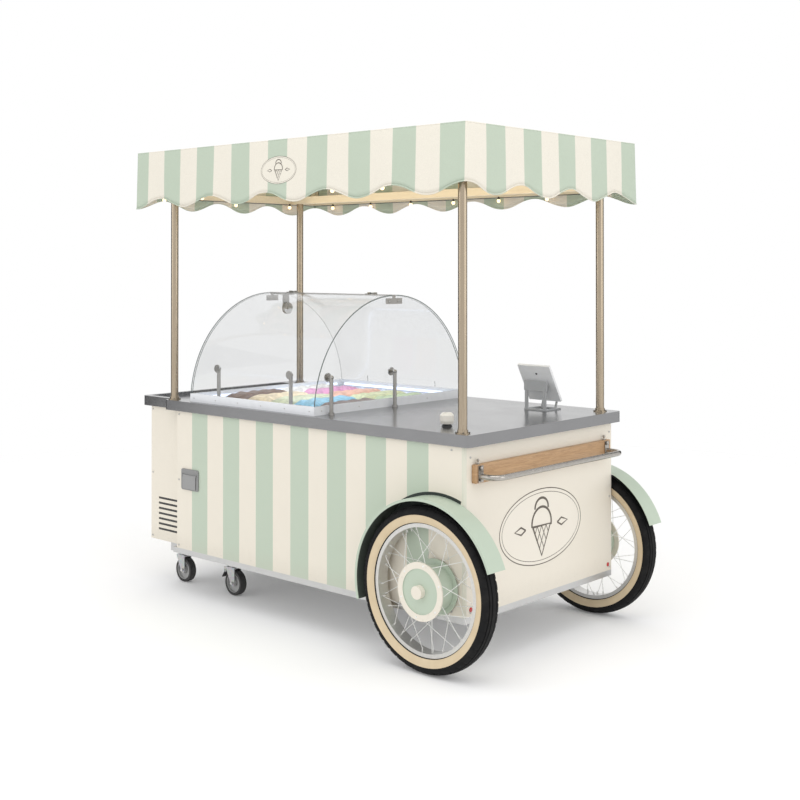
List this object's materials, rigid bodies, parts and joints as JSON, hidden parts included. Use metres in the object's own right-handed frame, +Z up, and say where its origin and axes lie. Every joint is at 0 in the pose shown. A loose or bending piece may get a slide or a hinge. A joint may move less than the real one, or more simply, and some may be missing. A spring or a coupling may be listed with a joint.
{
  "type": "push vending cart",
  "caption": "Gelato vending cart: striped cabinet on spoked wheels and casters, steel counter, glass dome over pans, striped awning on poles and an oak push handle.",
  "frame": {"origin": "middle of the whole cart's plan, on the floor", "axes": "+X along the cart to the push handle end, +Z up, the customers' striped front faces -Y"},
  "size_m": [2.4106, 1.375, 2.238],
  "materials": {
    "cream_paint": "satin",
    "mint_paint": "satin",
    "frame_aluminium": "satin",
    "counter_steel": "polished",
    "steel": "satin",
    "insulation": "matte",
    "gelato_and_pan": "satin",
    "glass": "polished",
    "white_plastic": "gloss",
    "dark_plastic": "matte",
    "grey_plastic": "matte",
    "champagne_steel": "satin",
    "painted_timber": "matte",
    "cloth": "matte",
    "lamp_glass": "gloss",
    "oak": "satin",
    "chrome": "polished",
    "hub_cream": "satin",
    "spoke_steel": "satin",
    "rim_aluminium": "satin",
    "tyre": "matte",
    "caster_rubber": "matte",
    "fan_plastic": "matte",
    "tablet_shell": "satin"
  },
  "bodies": {
    "cart": {"chassis_frame": "frame_aluminium", "front_panel": "cream_paint", "end_panels": "cream_paint", "service_panel": "cream_paint", "rear_panel": "cream_paint", "countertop": "counter_steel", "well_tub": "steel", "insulation": "insulation", "pan_rack": "steel", "condensing_unit": "steel", "dome_front_glass": "glass", "dome_end_panes": "glass", "dome_base_rail": "white_plastic", "dome_fittings": "steel", "canopy_poles": "champagne_steel", "canopy_frame": "painted_timber", "canopy_cloth": "cloth", "string_lights": "lamp_glass", "handle_board": "oak", "handle_bar": "chrome", "axle": "steel", "mudguards": "mint_paint", "caster_plates": "steel", "pos_stand": "grey_plastic", "dimmer_base": "dark_plastic", "power_inlet": "grey_plastic"},
    "wheel_front": {"hub_front": "hub_cream", "spokes_front": "spoke_steel", "rim_front": "rim_aluminium", "tyre_front": "tyre"},
    "wheel_rear": {"hub_rear": "hub_cream", "spokes_rear": "spoke_steel", "rim_rear": "rim_aluminium", "tyre_rear": "tyre"},
    "door_left": {"rear_door_left": "cream_paint"},
    "door_right": {"rear_door_right": "cream_paint"},
    "dome_lid": {"dome_rear_lid": "glass"},
    "fan": {"fan": "fan_plastic"},
    "tablet": {"tablet": "tablet_shell"},
    "dimmer_knob": {"dimmer_knob": "white_plastic"},
    "inlet_flap": {"inlet_flap": "grey_plastic"},
    "brake_pedal": {"brake_pedal_2": "dark_plastic"},
    "caster_swivel_1": {"caster_fork_1": "steel"},
    "caster_roll_1": {"caster_wheel_1": "caster_rubber"},
    "caster_swivel_2": {"caster_fork_2": "steel"},
    "caster_roll_2": {"caster_wheel_2": "caster_rubber"},
    "caster_swivel_3": {"caster_fork_3": "steel"},
    "caster_roll_3": {"caster_wheel_3": "caster_rubber"},
    "caster_swivel_4": {"caster_fork_4": "steel"},
    "caster_roll_4": {"caster_wheel_4": "caster_rubber"},
    "pan_1": {"pan_1": "gelato_and_pan"},
    "pan_2": {"pan_2": "gelato_and_pan"},
    "pan_3": {"pan_3": "gelato_and_pan"},
    "pan_4": {"pan_4": "gelato_and_pan"},
    "pan_5": {"pan_5": "gelato_and_pan"},
    "pan_6": {"pan_6": "gelato_and_pan"},
    "pan_7": {"pan_7": "gelato_and_pan"},
    "pan_8": {"pan_8": "gelato_and_pan"},
    "pan_9": {"pan_9": "gelato_and_pan"},
    "pan_10": {"pan_10": "gelato_and_pan"}
  },
  "joints": [
    {"name": "wheel_front_spin", "type": "hinge", "parent": "cart", "child": "wheel_front", "pos_m": [0.85475, -0.6095, 0.34], "axis": [0, 1, 0], "continuous": true},
    {"name": "wheel_rear_spin", "type": "hinge", "parent": "cart", "child": "wheel_rear", "pos_m": [0.85475, 0.5865, 0.34], "axis": [0, 1, 0], "continuous": true},
    {"name": "door_left_hinge", "type": "hinge", "parent": "cart", "child": "door_left", "pos_m": [-0.62425, 0.5425, 0.58], "axis": [0, 0, 1], "range_deg": [0, 110]},
    {"name": "door_right_hinge", "type": "hinge", "parent": "cart", "child": "door_right", "pos_m": [0.43375, 0.5425, 0.58], "axis": [0, 0, -1], "range_deg": [0, 110]},
    {"name": "dome_lid_hinge", "type": "hinge", "parent": "cart", "child": "dome_lid", "pos_m": [-0.33825, 0.017, 1.52], "axis": [1, 0, 0], "range_deg": [0, 60]},
    {"name": "fan_spin", "type": "hinge", "parent": "cart", "child": "fan", "pos_m": [-1.00525, -0.3875, 0.386], "axis": [0, 1, 0], "continuous": true},
    {"name": "tablet_tilt", "type": "hinge", "parent": "cart", "child": "tablet", "pos_m": [0.71675, 0.3385, 1.093], "axis": [1, 0, 0], "range_deg": [-10, 15]},
    {"name": "dimmer_turn", "type": "hinge", "parent": "cart", "child": "dimmer_knob", "pos_m": [0.77675, -0.3995, 0.987], "axis": [0, 0, 1], "range_deg": [-135, 135]},
    {"name": "inlet_flap_hinge", "type": "hinge", "parent": "cart", "child": "inlet_flap", "pos_m": [-0.75825, -0.5645, 0.61], "axis": [-1, 0, 0], "range_deg": [0, 95]},
    {"name": "brake_pedal_hinge", "type": "hinge", "parent": "caster_swivel_2", "child": "brake_pedal", "pos_m": [-0.69525, -0.3625, 0.119], "axis": [0, -1, 0], "range_deg": [0, 20]},
    {"name": "caster_swivel_1_turn", "type": "hinge", "parent": "cart", "child": "caster_swivel_1", "pos_m": [-1.06325, -0.3625, 0.14], "axis": [0, 0, 1], "continuous": true},
    {"name": "caster_roll_1_spin", "type": "hinge", "parent": "caster_swivel_1", "child": "caster_roll_1", "pos_m": [-1.03825, -0.3625, 0.0625], "axis": [0, 1, 0], "continuous": true},
    {"name": "caster_swivel_2_turn", "type": "hinge", "parent": "cart", "child": "caster_swivel_2", "pos_m": [-0.66325, -0.3625, 0.14], "axis": [0, 0, 1], "continuous": true},
    {"name": "caster_roll_2_spin", "type": "hinge", "parent": "caster_swivel_2", "child": "caster_roll_2", "pos_m": [-0.63825, -0.3625, 0.0625], "axis": [0, 1, 0], "continuous": true},
    {"name": "caster_swivel_3_turn", "type": "hinge", "parent": "cart", "child": "caster_swivel_3", "pos_m": [-1.06325, 0.3395, 0.14], "axis": [0, 0, 1], "continuous": true},
    {"name": "caster_roll_3_spin", "type": "hinge", "parent": "caster_swivel_3", "child": "caster_roll_3", "pos_m": [-1.03825, 0.3395, 0.0625], "axis": [0, 1, 0], "continuous": true},
    {"name": "caster_swivel_4_turn", "type": "hinge", "parent": "cart", "child": "caster_swivel_4", "pos_m": [-0.66325, 0.3395, 0.14], "axis": [0, 0, 1], "continuous": true},
    {"name": "caster_roll_4_spin", "type": "hinge", "parent": "caster_swivel_4", "child": "caster_roll_4", "pos_m": [-0.63825, 0.3395, 0.0625], "axis": [0, 1, 0], "continuous": true},
    {"name": "pan_1_lift", "type": "slide", "parent": "cart", "child": "pan_1", "axis": [0, 0, 1], "range_m": [0, 0.12]},
    {"name": "pan_2_lift", "type": "slide", "parent": "cart", "child": "pan_2", "axis": [0, 0, 1], "range_m": [0, 0.12]},
    {"name": "pan_3_lift", "type": "slide", "parent": "cart", "child": "pan_3", "axis": [0, 0, 1], "range_m": [0, 0.12]},
    {"name": "pan_4_lift", "type": "slide", "parent": "cart", "child": "pan_4", "axis": [0, 0, 1], "range_m": [0, 0.12]},
    {"name": "pan_5_lift", "type": "slide", "parent": "cart", "child": "pan_5", "axis": [0, 0, 1], "range_m": [0, 0.12]},
    {"name": "pan_6_lift", "type": "slide", "parent": "cart", "child": "pan_6", "axis": [0, 0, 1], "range_m": [0, 0.12]},
    {"name": "pan_7_lift", "type": "slide", "parent": "cart", "child": "pan_7", "axis": [0, 0, 1], "range_m": [0, 0.12]},
    {"name": "pan_8_lift", "type": "slide", "parent": "cart", "child": "pan_8", "axis": [0, 0, 1], "range_m": [0, 0.12]},
    {"name": "pan_9_lift", "type": "slide", "parent": "cart", "child": "pan_9", "axis": [0, 0, 1], "range_m": [0, 0.12]},
    {"name": "pan_10_lift", "type": "slide", "parent": "cart", "child": "pan_10", "axis": [0, 0, 1], "range_m": [0, 0.12]}
  ]
}
